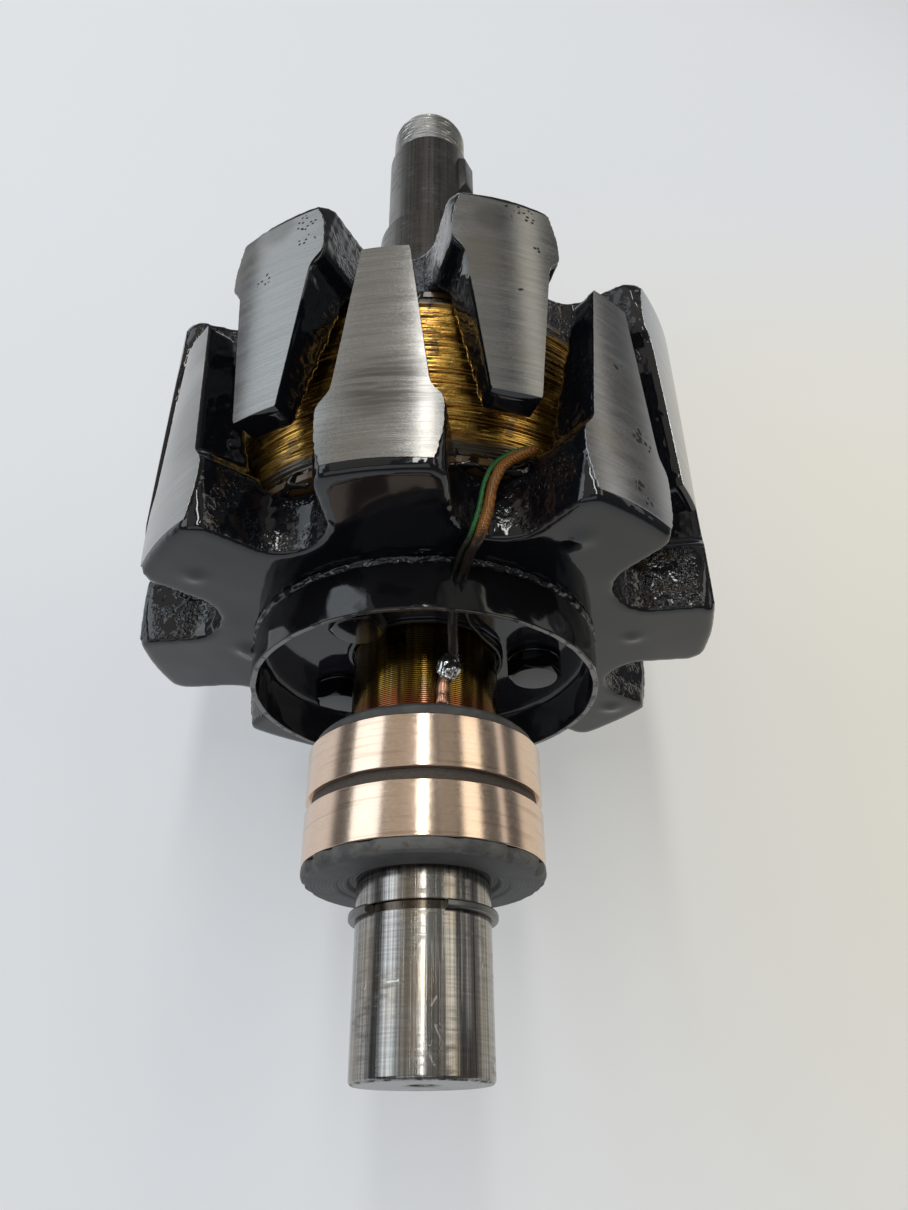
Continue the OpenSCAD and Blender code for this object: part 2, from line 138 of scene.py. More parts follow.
def welded(node):  # a copy of a solid's mesh with its split corners joined
    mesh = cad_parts[node].data.copy()
    work = bmesh.new()
    work.from_mesh(mesh)
    bmesh.ops.remove_doubles(work, verts=work.verts, dist=1e-6)
    bmesh.ops.dissolve_limit(work, angle_limit=math.radians(0.5), verts=work.verts, edges=work.edges)
    bmesh.ops.recalc_face_normals(work, faces=work.faces)
    work.to_mesh(mesh)
    work.free()
    mesh.materials.clear()
    return mesh


def pressed(mesh, *steps):  # the mesh after some modifiers
    holder = bpy.data.objects.new("holder", mesh)
    scene.collection.objects.link(holder)
    for kind, settings in steps:
        step = holder.modifiers.new(kind.lower(), kind)
        for key, value in settings.items():
            setattr(step, key, value)
    shaped = bpy.data.meshes.new_from_object(holder.evaluated_get(bpy.context.evaluated_depsgraph_get()))
    bpy.data.objects.remove(holder)
    return shaped


def meshPoints(mesh):  # points in mm, and their normals
    points = np.empty(len(mesh.vertices) * 3)
    mesh.vertices.foreach_get("co", points)
    normals = np.empty(len(mesh.vertices) * 3)
    mesh.vertex_normals.foreach_get("vector", normals)
    return points.reshape(-1, 3) * 1000, normals.reshape(-1, 3)


def setPoints(mesh, points):
    mesh.vertices.foreach_set("co", (points * 0.001).reshape(-1))
    mesh.update()


class Wire:
    def __init__(self, tree, socket=None):
        self.tree, self.socket = tree, socket

    def add(self, kind, settings, links, out=0):
        node = self.tree.nodes.new("ShaderNode" + kind)
        for key, value in settings.items():
            if key == "stops":
                ends = node.color_ramp.elements
                ends[0].position, ends[0].color = value[0]
                ends[1].position, ends[1].color = value[-1]
                for place, colour in value[1:-1]:
                    ends.new(place).color = colour
            else:
                setattr(node, key, value)
        for key, value in links.items():
            if isinstance(value, Wire):
                self.tree.links.new(value.socket, node.inputs[key])
            else:
                node.inputs[key].default_value = value
        if isinstance(out, tuple):
            return [Wire(self.tree, node.outputs[name]) for name in out]
        return Wire(self.tree, node.outputs[out])

    def math(self, operation, first, second=0.0):
        return self.add("Math", {"operation": operation}, {0: first, 1: second})

    def __add__(self, other):
        return self.math("ADD", self, other)

    __radd__ = __add__

    def __sub__(self, other):
        return self.math("SUBTRACT", self, other)

    def __rsub__(self, other):
        return self.math("SUBTRACT", other, self)

    def __mul__(self, other):
        return self.math("MULTIPLY", self, other)

    __rmul__ = __mul__

    def __pow__(self, other):
        return self.math("POWER", self, other)


def between(value, low, high):  # 0 below low, 1 above high, smooth between
    return value.add("MapRange", {"interpolation_type": "SMOOTHSTEP"},
                     {"Value": value, "From Min": low, "From Max": high}, "Result")


def blend(first, second, share):  # two colours
    return share.add("Mix", {"data_type": "RGBA"}, {0: share, 6: first, 7: second}, 2)


def shade(r, g, b):
    return (r, g, b, 1.0)


def speckle(base, vector, scale, detail=2.0, twist=0.0):
    return base.add("TexNoise", {}, {"Vector": vector, "Scale": scale, "Detail": detail, "Distortion": twist}, "Fac")


def newFinish(name):
    finish = bpy.data.materials.new(name)
    finish.use_nodes = True
    base = Wire(finish.node_tree)
    place = base.add("TexCoord", {}, {}, "Object")
    return finish, base, place


def turnedPlace(base, place):  # angle round the shaft, place along it and distance from it, in metres
    x, y, z = base.add("SeparateXYZ", {}, {"Vector": place}, ("X", "Y", "Z"))
    up = z - axisHeight * 0.001
    return base.math("ARCTAN2", x, up), y, (x * x + up * up) ** 0.5


def combined(base, x, y, z):
    return base.add("CombineXYZ", {}, {"X": x, "Y": y, "Z": z})


def settleFinish(finish, fixed, colour=None, rough=None, metal=None, height=None, depth=0.0):
    shader = finish.node_tree.nodes["Principled BSDF"]
    links = finish.node_tree.links
    for key, value in fixed.items():
        shader.inputs[key].default_value = value
    for key, wire in (("Base Color", colour), ("Roughness", rough), ("Metallic", metal)):
        if wire:
            links.new(wire.socket, shader.inputs[key])
    if height:
        bump = height.add("Bump", {}, {"Strength": 1.0, "Distance": depth * 0.001, "Height": height}, "Normal")
        links.new(bump.socket, shader.inputs["Normal"])
    return finish


# view, table and light

viewpoint = {"place": (-0.01033, -0.14678, 0.2328), "turn": (31.761, -5.184, -0.541), "lens": 27.0446, "sensor": 36}
camera = bpy.data.objects.new("photoView", bpy.data.cameras.new("photoView"))
camera.location = viewpoint["place"]
camera.rotation_euler = [math.radians(a) for a in viewpoint["turn"]]
camera.data.lens = viewpoint["lens"]
camera.data.sensor_width = viewpoint["sensor"]
camera.data.clip_start = 0.01
scene.collection.objects.link(camera)
scene.camera = camera

table = {"half": 3.0, "cool": shade(0.9, 0.93, 0.99), "warm": shade(0.98, 0.93, 0.83),
         "coolGlow": shade(0.93, 0.96, 1.0), "warmGlow": shade(1.0, 0.985, 0.9),
         "far": shade(0.3, 0.3, 0.305), "edge": (0.34, 1.05), "lift": 0.32, "glow": 1.0}


def tableTop():
    finish, base, place = newFinish("tableTop")
    x, y = base.add("SeparateXYZ", {}, {"Vector": place}, ("X", "Y"))
    # the right side of the top, and its glow, are painted warmer: a painted pool of warm light
    side = between(x, -0.04, 0.15) * (1 - between(base.math("ABSOLUTE", y + 0.02), 0.07, 0.26))
    paintedWarmLight = side * 0.85 + speckle(base, place, 9, 3) * 0.15
    wide, deep = x * 1.25, y - 0.06
    far = between((wide * wide + deep * deep) ** 0.5, *table["edge"])  # painted fall-off of light: the top grows darker away from the rotor, softly into the room
    colour = blend(blend(table["cool"], table["warm"], paintedWarmLight), table["far"], far)
    glowColour = blend(blend(table["coolGlow"], table["warmGlow"], paintedWarmLight), table["far"], far)
    settleFinish(finish, {"Roughness": 0.75, "Specular IOR Level": 0.2}, colour)
    # seen by the eye and in gloss the top is a little paler, and it keeps its shadows
    rays = base.add("LightPath", {}, {}, ("Is Camera Ray", "Is Glossy Ray", "Is Transmission Ray"))
    seen = base.math("MAXIMUM", base.math("MAXIMUM", rays[0], rays[1]), rays[2])
    tree = finish.node_tree
    plain = Wire(tree, tree.nodes["Principled BSDF"].outputs[0])
    glow = base.add("Emission", {}, {"Color": glowColour, "Strength": table["glow"]})
    mixed = base.add("MixShader", {}, {0: seen * table["lift"], 1: plain, 2: glow})
    tree.links.new(mixed.socket, tree.nodes["Material Output"].inputs["Surface"])
    return finish


half = table["half"]
tableMesh = bpy.data.meshes.new("tableTop")
tableMesh.from_pydata([(-half, -half, 0), (half, -half, 0), (half, half, 0), (-half, half, 0)], [], [(0, 1, 2, 3)])
tableMesh.materials.append(tableTop())
tableObject = bpy.data.objects.new("tableTop", tableMesh)
scene.collection.objects.link(tableObject)

# each panel: swing round the shaft from straight up, share of the shaft direction, distance, width, length, level, tint
panels = {
    "leftWindow": (-59, 0.14, 1.2, 0.62, 1.0, 1.75, (0.86, 0.94, 1.0)),
    "leftFar": (-63, 0.68, 1.2, 0.6, 0.55, 0.88, (0.88, 0.955, 1.0)),
    "topStrip": (-5, 0.2, 1.4, 0.12, 1.05, 11.0, (1.0, 1.0, 0.97)),
    "topFar": (-4, 0.68, 1.4, 0.1, 0.6, 5.6, (1.0, 0.98, 0.93)),
    "rightWindow": (41, 0.14, 1.2, 0.36, 1.0, 1.4, (1.0, 0.94, 0.8)),
    "rightFar": (41, 0.68, 1.2, 0.13, 0.55, 0.95, (1.0, 0.94, 0.8)),
    "lowFar": (69, 0.66, 1.2, 0.12, 0.5, 0.7, (1.0, 0.95, 0.88)),
    "lowWindow": (74, 0.3, 1.2, 0.14, 0.8, 0.7, (1.0, 0.95, 0.9)),
    "leftCeiling": (-27, 0.35, 1.9, 0.9, 3.4, 0.3, (1.0, 0.92, 0.78)),
    "rightCeiling": (18, 0.35, 1.9, 0.5, 3.4, 0.17, (1.0, 0.92, 0.76)),
    "backFill": (-20, -0.75, 1.8, 1.6, 1.2, 0.6, (0.94, 0.97, 1.0)),
}
for name, (lean, along, away, wide, long, level, tint) in panels.items():
    swing = math.radians(lean)
    cross = math.sqrt(1 - along ** 2)
    facing = Vector((math.sin(swing) * cross, along, math.cos(swing) * cross))
    longWay = (Vector((0, 1, 0)) - facing * facing.y).normalized()
    lamp = bpy.data.lights.new(name, "AREA")
    lamp.shape = "RECTANGLE"
    lamp.size, lamp.size_y = wide, long
    lamp.energy = level * math.pi * wide * long
    lamp.color = tint
    lampObject = bpy.data.objects.new(name, lamp)
    turn = Matrix((longWay.cross(facing), longWay, facing)).transposed().to_4x4()
    lampObject.matrix_world = Matrix.Translation(facing * away + Vector((0, 0, 0.06))) @ turn
    scene.collection.objects.link(lampObject)

room = {"tint": shade(0.93, 0.96, 1.0), "level": 0.13}
world = bpy.data.worlds.new("room")
world.use_nodes = True
sky = world.node_tree.nodes["Background"].inputs
sky["Color"].default_value, sky["Strength"].default_value = room["tint"], room["level"]
scene.world = world
scene.view_settings.view_transform = "Standard"
print("table, light and view set")


# finishes

slipPole, drivePole = span("slip_end_pole"), span("drive_end_pole")


def patch(turn, along, spot):  # 1 inside a round patch on the claw faces: turn, y and reach in mm
    at, y, reach = spot
    across = (turn - math.radians(at)) * groundFace["radius"]
    up = along * 1000 - y
    return 1 - between((across * across + up * up) ** 0.5, reach * 0.4, reach)


def patches(turn, along, spots):
    total = patch(turn, along, spots[0])
    for spot in spots[1:]:
        total = turn.math("MAXIMUM", total, patch(turn, along, spot))
    return total


def groundSteel():
    finish, base, place = newFinish("groundSteel")
    turn, along, reach = turnedPlace(base, place)
    lines = between(speckle(base, combined(base, turn * 5, along * 3600, reach * 40), 1.0, 2), 0.3, 0.7)
    bands = between(speckle(base, combined(base, turn * 4, along * 480, reach * 20), 1.0, 3), 0.3, 0.7)
    grain = between(speckle(base, place, 3400, 1), 0.3, 0.7)
    stain = between(speckle(base, place, 70, 3), 0.5, 0.7)
    streak = between(speckle(base, combined(base, turn * 6, along * 900, reach * 20), 1.0, 2), 0.4, 0.62)
    smear = patches(turn, along, groundFace["smears"]) * (0.25 + streak * 0.75)
    # soft dark films, and painted shade over most of the left near claw
    filmAndShade = patches(turn, along, groundFace["filmsAndShade"]) * (0.4 + stain * 0.15)
    flat = combined(base, turn * groundFace["radius"], along * 1000, 0.0)
    spots = base.add("TexVoronoi", {"voronoi_dimensions": "2D"}, {"Vector": flat, "Scale": 0.72}, "Distance")
    wider = between(turn, 0.45, 0.55) * 0.12 - (1 - between(turn, -0.2, 0.1)) * 0.05  # coarser pits on the right
    pit = (1 - between(spots - wider, 0.18, 0.3)) * patches(turn, along, groundFace["pits"])
    pit = between(pit * between(speckle(base, place, 520, 0), 0.36, 0.42), 0.12, 0.36)
    colour = blend(shade(0.3, 0.3, 0.298), shade(0.43, 0.427, 0.415), lines * 0.45 + bands * 0.2 + grain * 0.35)
    colour = blend(colour, shade(0.34, 0.3, 0.25), stain * 0.4)
    colour = blend(colour, shade(0.15, 0.145, 0.14), smear * 0.8)
    colour = blend(colour, shade(0.13, 0.128, 0.125), filmAndShade)
    colour = blend(colour, shade(0.012, 0.011, 0.01), pit)
    rough = 0.17 + grain * 0.05 + bands * 0.05 + pit * 0.4
    return settleFinish(finish, {}, colour, rough, 1 - pit * 0.9, lines * 0.5 + grain * 0.3 - pit * 3, 0.0015)


def blackVarnish(name, castRough=1.0, rimAt=None, low=shade(0.0055, 0.006, 0.0085), gloss=0.5):
    finish, base, place = newFinish(name)
    normal = base.add("NewGeometry", {}, {}, "Normal")
    ny = base.add("SeparateXYZ", {}, {"Vector": normal}, "Y")
    turn, along, reach = turnedPlace(base, place)
    plateMiddle = (slipPole[0] + drivePole[1]) * 0.0005  # metres, half way between the star plates
    plateReach = (drivePole[1] - slipPole[0]) * 0.0005 - poleSkin["plate"] * 0.001
    middle = base.math("ABSOLUTE", along - plateMiddle)
    sides = (1 - between(base.math("ABSOLUTE", ny), 0.5, 0.8)) * between(middle, plateReach - 0.0015, plateReach)
    sides = sides * between(reach, 0.042, 0.0435) * (1 - between(reach, 0.057, 0.0595))
    swell = speckle(base, place, 160, 2)
    skin = speckle(base, place, 700, 2)
    cast = between(speckle(base, place, 1150, 1, 0.4), 0.42, 0.78)
    cast = cast * between(speckle(base, place, 150, 2), 0.4, 0.56)  # in clusters
    dust = between(speckle(base, place, 2600, 1), 0.71, 0.79)
    # brown patches on the valley walls: a painted reflection of the coil
    brownReflection = between(speckle(base, place, 260, 3), 0.5, 0.7) * sides
    grit = 0.45 + between(base.math("ABSOLUTE", turn), 0.75, 0.95) * 0.6  # rougher castings low down
    grit = grit * sides * castRough
    colour = blend(low, shade(0.09, 0.055, 0.02), brownReflection * grit * 0.25)
    colour = blend(colour, shade(0.09, 0.09, 0.09), dust * 0.3)
    rough = 0.05 + skin * 0.035 + dust * 0.2 + cast * grit * 0.05
    height = swell * 0.2 + skin * 0.04 + cast * grit * 1.5
    metal = None
    if rimAt:  # the varnish is worn off the very edge
        mottle = between(speckle(base, place, 300, 3), 0.32, 0.52)
        worn = (1 - between(along, rimAt + 0.00003, rimAt + 0.00012)) * mottle
        colour = blend(colour, shade(0.26, 0.255, 0.245), worn * 0.8)
        metal = worn * 0.9
        skirt = cupRadius * 0.001
        wall = between(reach, skirt - 0.0006, skirt - 0.0002)  # the outside is a little dull, and keeps plain black without the painted bluish reflection inside
        rough = rough + worn * 0.25 + wall * 0.05
        colour = blend(colour, shade(0.005, 0.005, 0.006), wall * (1 - worn))
    return settleFinish(finish, {"IOR": 1.58, "Specular IOR Level": gloss}, colour, rough, metal, height, 0.16)


def windingWire():
    finish, base, place = newFinish("windingWire")
    turn, along, reach = turnedPlace(base, place)
    strand = speckle(base, combined(base, turn * 5, along * 1330, reach * 200), 1.0, 2)
    drift = speckle(base, combined(base, turn * 9, along * 260, reach * 60), 1.0, 3)
    blot = between(speckle(base, place, 210, 3, 0.8), 0.52, 0.7)
    off = base.math("ABSOLUTE", along - windingMiddle) + blot * 0.001
    edge = between(off, windingHalf - 0.0048, windingHalf - 0.0022)
    colour = blend(shade(0.22, 0.095, 0.012), shade(0.74, 0.45, 0.09), between(strand * 0.6 + drift * 0.4, 0.32, 0.66))
    dark = blot * 0.75
    colour = blend(colour, shade(0.05, 0.022, 0.006), dark * 0.85)
    colour = blend(colour, shade(0.006, 0.005, 0.004), edge * 0.95)
    rough = 0.16 + drift * 0.18
    metal = (0.95 - dark * 0.7) * (1 - edge)
    return settleFinish(finish, {"Coat Weight": 0.2, "Coat Roughness": 0.1}, colour, rough, metal,
                        strand * 0.3 + blot, 0.03)


def ringCopper():
    finish, base, place = newFinish("ringCopper")
    turn, along, reach = turnedPlace(base, place)
    lines = speckle(base, combined(base, turn * 1.5, along * 6000, reach * 3000), 1.0, 2)
    grain = speckle(base, combined(base, turn * 30, along * 2600, reach * 900), 1.0, 2)
    bloom = speckle(base, place, 90, 3)
    worn = between(speckle(base, combined(base, turn * 0.8, along * 700, 0.0), 1.0, 2), 0.56, 0.7)
    colour = blend(shade(0.62, 0.43, 0.31), shade(0.98, 0.79, 0.64), lines * 0.35 + grain * 0.45 + bloom * 0.2)
    colour = blend(colour, shade(0.45, 0.29, 0.19), worn * 0.35)
    rough = 0.1 + grain * 0.1 + bloom * 0.05
    return settleFinish(finish, {"Metallic": 1.0}, colour, rough, None, lines * 0.5 + grain * 0.5, 0.0016)


def nick(base, turn, along, spot):  # a short scratch: turn, y, slant in degrees, length and width in mm
    at, y, slant, long, wide = spot
    across = (turn - math.radians(at)) * shaftPlan["journal"]
    up = along * 1000 - y
    c, d = math.cos(math.radians(slant)), math.sin(math.radians(slant))
    way = base.math("ABSOLUTE", across * c + up * d)
    off = base.math("ABSOLUTE", up * c - across * d)
    return (1 - between(way, long * 0.3, long * 0.5)) * (1 - between(off, wide * 0.2, wide * 0.5))


def shaftSteel():
    finish, base, place = newFinish("shaftSteel")
    turn, along, reach = turnedPlace(base, place)
    rings = between(speckle(base, combined(base, turn * 1.2, along * 3000, reach * 2500), 1.0, 2), 0.3, 0.7)
    streaks = between(speckle(base, combined(base, turn * 26, along * 14, reach * 60), 1.0, 4), 0.36, 0.64)
    scratch = between(speckle(base, combined(base, turn * 120, along * 14, reach * 90), 1.0, 1), 0.66, 0.71)
    hairs = between(speckle(base, combined(base, turn * 300, along * 30, reach * 90), 1.0, 2), 0.3, 0.7)
    grain = speckle(base, place, 3000, 2)
    cloud = speckle(base, place, 120, 3)
    wipe = between(speckle(base, combined(base, turn * 3, along * 900, 0.0), 1.0, 4), 0.46, 0.66)
    wipe = wipe * between(speckle(base, combined(base, turn * 1.6, along * 70, 3.0), 1.0, 2), 0.44, 0.6)
    drive = between(along, 0.02, 0.021)  # the seats beyond the claws are darker
    threadStart, faceAt = (shaftLast - shaftPlan["threadLength"]) * 0.001, shaftFirst * 0.001
    clipFrom, clipTo = clipFirst * 0.001, clipLast * 0.001
    thread = between(along, threadStart - 0.0005, threadStart)
    endFace = 1 - between(along, faceAt + 0.00015, faceAt + 0.0004)
    spots = base.add("TexVoronoi", {}, {"Vector": place, "Scale": 620.0}, "Distance")
    speck = (1 - between(spots, 0.2, 0.36)) * between(speckle(base, place, 260, 2), 0.42, 0.52)
    speck = speck * between(reach, 0.0065, 0.0115)
    rimDirt = between(reach, 0.0112, 0.0121) * between(speckle(base, place, 700, 2), 0.44, 0.58)
    speck = base.math("MAXIMUM", speck, rimDirt)
    seam = between(along, clipFrom - 0.0003, clipFrom) * (1 - between(along, clipTo, clipTo + 0.0003))
    nicks = nick(base, turn, along, shaftPlan["nicks"][0])
    for spot in shaftPlan["nicks"][1:]:
        nicks = base.math("MAXIMUM", nicks, nick(base, turn, along, spot))
    bright = blend(shade(0.08, 0.078, 0.077), shade(0.5, 0.48, 0.45), rings * 0.2 + streaks * 0.45 + hairs * 0.35)
    heat = between(speckle(base, combined(base, turn * 2.2, along * 55, 0.0), 1.0, 2), 0.46, 0.64)
    bright = blend(bright, shade(0.34, 0.26, 0.17), heat * 0.35)
    bright = blend(bright, shade(0.1, 0.09, 0.08), wipe * 0.5)
    dull = blend(shade(0.05, 0.046, 0.043), shade(0.23, 0.215, 0.2), streaks * 0.2 + rings * 0.3 + cloud * 0.5)
    dull = blend(dull, shade(0.68, 0.67, 0.63), thread * (0.5 + rings * 0.5))
    colour = blend(bright, dull, drive)
    colour = blend(colour, shade(0.7, 0.68, 0.64), scratch * (0.45 - drive * 0.3))
    colour = blend(colour, blend(shade(0.26, 0.26, 0.265), shade(0.56, 0.55, 0.54), grain), endFace * 0.85)
    colour = blend(colour, shade(0.03, 0.027, 0.024), speck * endFace * 0.9)
    colour = blend(colour, shade(0.05, 0.035, 0.022), seam * 0.85)
    colour = blend(colour, shade(0.75, 0.74, 0.71), nicks * 0.45)
    rough = 0.09 + streaks * 0.06 + grain * 0.05 + drive * 0.16 + endFace * 0.25 + wipe * 0.16
    height = rings * (0.15 + drive * 0.3) + (streaks * 0.5 + hairs * 0.4) * (1 - drive * 0.75)
    height = height + grain * (0.15 + endFace * 4.0) - scratch * 1.2 - nicks * 8.0 - wipe * 0.5
    return settleFinish(finish, {"Metallic": 1.0}, colour, rough, None, height, 0.003)


def mouldedHub():
    finish, base, place = newFinish("mouldedHub")
    _, along, reach = turnedPlace(base, place)
    ridges = base.math("SINE", reach * 9000)
    grain = speckle(base, place, 2600, 3)
    cloud = speckle(base, place, 260, 3)
    grooveFrom, grooveTo = outerRing[1] * 0.001, innerRing[0] * 0.001
    groove = between(along, grooveFrom, grooveFrom + 0.0004) * (1 - between(along, grooveTo - 0.0004, grooveTo))
    rim = between(reach, 0.0214, 0.0224) * (1 - groove)
    colour = blend(shade(0.02, 0.02, 0.022), shade(0.17, 0.169, 0.168), grain * 0.45 + cloud * 0.55)
    colour = blend(colour, shade(0.16, 0.158, 0.15), rim * between(cloud, 0.4, 0.6) * 0.7)
    colour = blend(colour, shade(0.12, 0.075, 0.03), rim * between(speckle(base, place, 420, 2), 0.6, 0.68) * 0.8)
    colour = blend(colour, blend(shade(0.03, 0.022, 0.018), shade(0.13, 0.105, 0.09), grain), groove)
    rough = 0.42 + grain * 0.3
    return settleFinish(finish, {"Specular IOR Level": 0.4}, colour, rough, None,
                        grain * 0.6 + ridges * 0.35 + cloud * 0.8, 0.09)


def amberSleeve():
    finish, base, place = newFinish("amberSleeve")
    turn, along, reach = turnedPlace(base, place)
    laps = speckle(base, combined(base, turn * 3, along * 2300, reach * 100), 1.0, 2)
    cloud = speckle(base, place, 180, 3)
    # pale amber vertical streaks: varnish runs and painted highlight streaks
    runsAndHighlights = between(speckle(base, combined(base, turn * 7, along * 25, 0.0), 1.0, 3), 0.42, 0.66)
    start = sleeveFirst * 0.001
    nearHub = 1 - between(along + cloud * 0.004, start + 0.0055, start + 0.0105)
    colour = blend(shade(0.075, 0.036, 0.006), shade(0.6, 0.385, 0.04), runsAndHighlights * 0.75 + laps * 0.25)
    colour = blend(colour, shade(0.2, 0.04, 0.012), nearHub * 0.85)
    rough = 0.14 + cloud * 0.06
    return settleFinish(finish, {"Metallic": 1.0, "Coat Weight": 0.4, "Coat Roughness": 0.08}, colour, rough, None,
                        laps * 0.2 + cloud * 0.2, 0.01)


def darkVarnish(name, low, high):
    finish, base, place = newFinish(name)
    cloud = speckle(base, place, 330, 3)
    skin = speckle(base, place, 1500, 2)
    colour = blend(low, high, between(cloud, 0.42, 0.7))
    return settleFinish(finish, {"IOR": 1.55}, colour, 0.06 + skin * 0.08, None, cloud + skin * 0.3, 0.08)


def darkSteel(name, low, high):
    finish, base, place = newFinish(name)
    grain = speckle(base, place, 2400, 3)
    cloud = speckle(base, place, 300, 3)
    colour = blend(low, high, grain * 0.45 + cloud * 0.55)
    return settleFinish(finish, {"Metallic": 0.9}, colour, 0.25 + cloud * 0.22, None, grain * 0.5 + cloud * 0.4, 0.03)


def leadSleeve(name, low, high):  # a braided sleeve, near black inside the cup
    finish, base, place = newFinish(name)
    x, y, z = base.add("SeparateXYZ", {}, {"Vector": place}, ("X", "Y", "Z"))
    braid = base.math("SINE", (x + y + z) * 6500) * base.math("SINE", (x - y + z) * 6500)
    braid = between(braid, -0.4, 0.5)
    cloud = speckle(base, place, 420, 3)
    darkInCup = 1 - between(y + cloud * 0.002, slipPole[0] * 0.001 - 0.0012, slipPole[0] * 0.001 + 0.0012)
    colour = blend(low, high, braid * 0.65 + cloud * 0.35)
    colour = blend(colour, shade(0.01, 0.006, 0.004), darkInCup * 0.97)
    fixed = {"Coat Weight": 0.3, "Coat Roughness": 0.12, "Specular IOR Level": 0.3}
    return settleFinish(finish, fixed, colour, 0.3 + cloud * 0.2, None, braid * 0.5 + cloud * 0.6, 0.1)


def bareCopper(name, low, high, rough):
    finish, base, place = newFinish(name)
    grain = speckle(base, place, 1900, 2)
    cloud = speckle(base, place, 500, 3)
    colour = blend(low, high, grain * 0.4 + cloud * 0.6)
    return settleFinish(finish, {"Metallic": 1.0}, colour, rough + cloud * 0.2, None, grain * 0.4 + cloud, 0.12)


def varnishedFibre():
    finish, base, place = newFinish("varnishedFibre")
    threads = speckle(base, place, 1800, 4)
    cloud = speckle(base, place, 260, 3)
    colour = blend(shade(0.03, 0.014, 0.005), shade(0.16, 0.085, 0.025), threads * 0.4 + cloud * 0.6)
    return settleFinish(finish, {"Coat Weight": 0.7, "Coat Roughness": 0.12}, colour, 0.3 + cloud * 0.3, None,
                        threads + cloud * 2, 0.1)


# pole halves: the forged solids under a thick coat of varnish

poleSkin = {
    "cell": 0.72, "ease": 6, "topRadius": 60.9, "plate": 13.9,
    "lumps": ((19, 0.07), (8, 0.014)), "castLump": 0.045,
    # drips: turn, radius, place behind the front face, width, length, height
    "drips": ((-93, 38, 0, 1.4, 1.2, 1.1), (-97, 37.2, 0, 1.0, 1.0, 0.8), (-60, 52, 0.5, 1.3, 1.0, 0.7),
              (30, 50, 0.3, 1.6, 1.0, 0.6), (78, 44, 0, 1.2, 1.0, 0.6),
              (118, 53, 0.2, 1.5, 1.2, 0.7), (-122, 54, 0.4, 1.7, 1.2, 0.7), (165, 50, 0, 1.6, 1.2, 0.8)),
}


def varnishSkin(name, node, seed, front, way, finish):
    mesh = pressed(welded(node),
                   ("TRIANGULATE", {}),
                   ("REMESH", {"mode": "VOXEL", "voxel_size": poleSkin["cell"] * 0.001}),
                   ("SMOOTH", {"factor": 0.5, "iterations": poleSkin["ease"]}))
    points, normals = meshPoints(mesh)
    push = sum(high * ripple(points, size, seed + i) for i, (size, high) in enumerate(poleSkin["lumps"]))
    reach = np.hypot(points[:, 0], points[:, 2] - axisHeight)
    valley = np.clip((reach - 40) / 3, 0, 1) * np.clip(1.6 - 2 * np.abs(normals[:, 1]), 0, 1)
    push += poleSkin["castLump"] * valley * ripple(points, 2.0, seed + 9)
    for turn, radius, behind, wide, long, high in poleSkin["drips"][0 if way > 0 else 3:]:
        gap = points - around(turn, radius, front + way * behind) * 1000
        push += high * np.exp(-(gap[:, 0] ** 2 + gap[:, 2] ** 2) / (2 * wide ** 2) - gap[:, 1] ** 2 / (2 * long ** 2))
    points += normals * push[:, None]
    offAxis = points[:, [0, 2]] - (0, axisHeight)
    reach = np.hypot(offAxis[:, 0], offAxis[:, 1])
    trim = np.minimum(1, poleSkin["topRadius"] / np.maximum(reach, 1e-6))
    points[:, [0, 2]] = offAxis * trim[:, None] + (0, axisHeight)
    setPoints(mesh, points)
    mesh.materials.clear()
    mesh.materials.append(finish)
    return settlePiece(name, mesh, node, 70)


poleVarnish = blackVarnish("poleVarnish")
varnishSkin("slipPoleVarnish", "slip_end_pole", 11, slipPole[0], 1, poleVarnish)
varnishSkin("drivePoleVarnish", "drive_end_pole", 31, drivePole[1], -1, poleVarnish)
print("pole halves coated")

# ground claw faces: crisp caps over the varnish

groundFace = {
    "radius": 61.0, "overhang": 1.9, "length": 52.7, "depth": 1.7, "burr": 0.1, "rows": 130, "columns": 20,
    "outline": ((0, 9.25), (0.5, 9.45), (3, 10.2), (6, 10.75), (8.5, 11.05), (11.5, 11.12), (12.9, 11.0), (14, 10.55),
                (15, 9.75), (16, 9.05), (17, 8.65), (18.2, 8.42), (52.2, 4.72), (52.7, 4.5)),
    "ragged": 0.12, "waves": (0.35, 0.9, 2.1, 4.3),
    # marks on the steel: turn, y, reach
    "pits": ((-27.3, 15.6, 3.2), (-26.9, 9.5, 2.6), (-35.7, 2.9, 2.4), (12.2, 18.4, 2.6), (14.4, 16.2, 3.6),
             (12.9, -6.2, 1.5), (17.1, 6.9, 1.3), (37.1, -33, 3.4), (34.8, -45.2, 2), (36.7, -48.2, 1.8),
             (33.3, -16.4, 1.8), (103, -12, 2.4), (-150, 0, 2.2), (170, -30, 2.6)),
    # films: soft dark clouds; the two large ones over the left near claw are painted shade
    "filmsAndShade": ((-33.6, 17.1, 5.5), (8.2, 12.8, 5), (-49, -24, 16), (-51, 0, 12)),
    "smears": ((-9.8, -34, 10.5), (80, -30, 8), (-124, 8, 7), (168, 0, 8)),
}


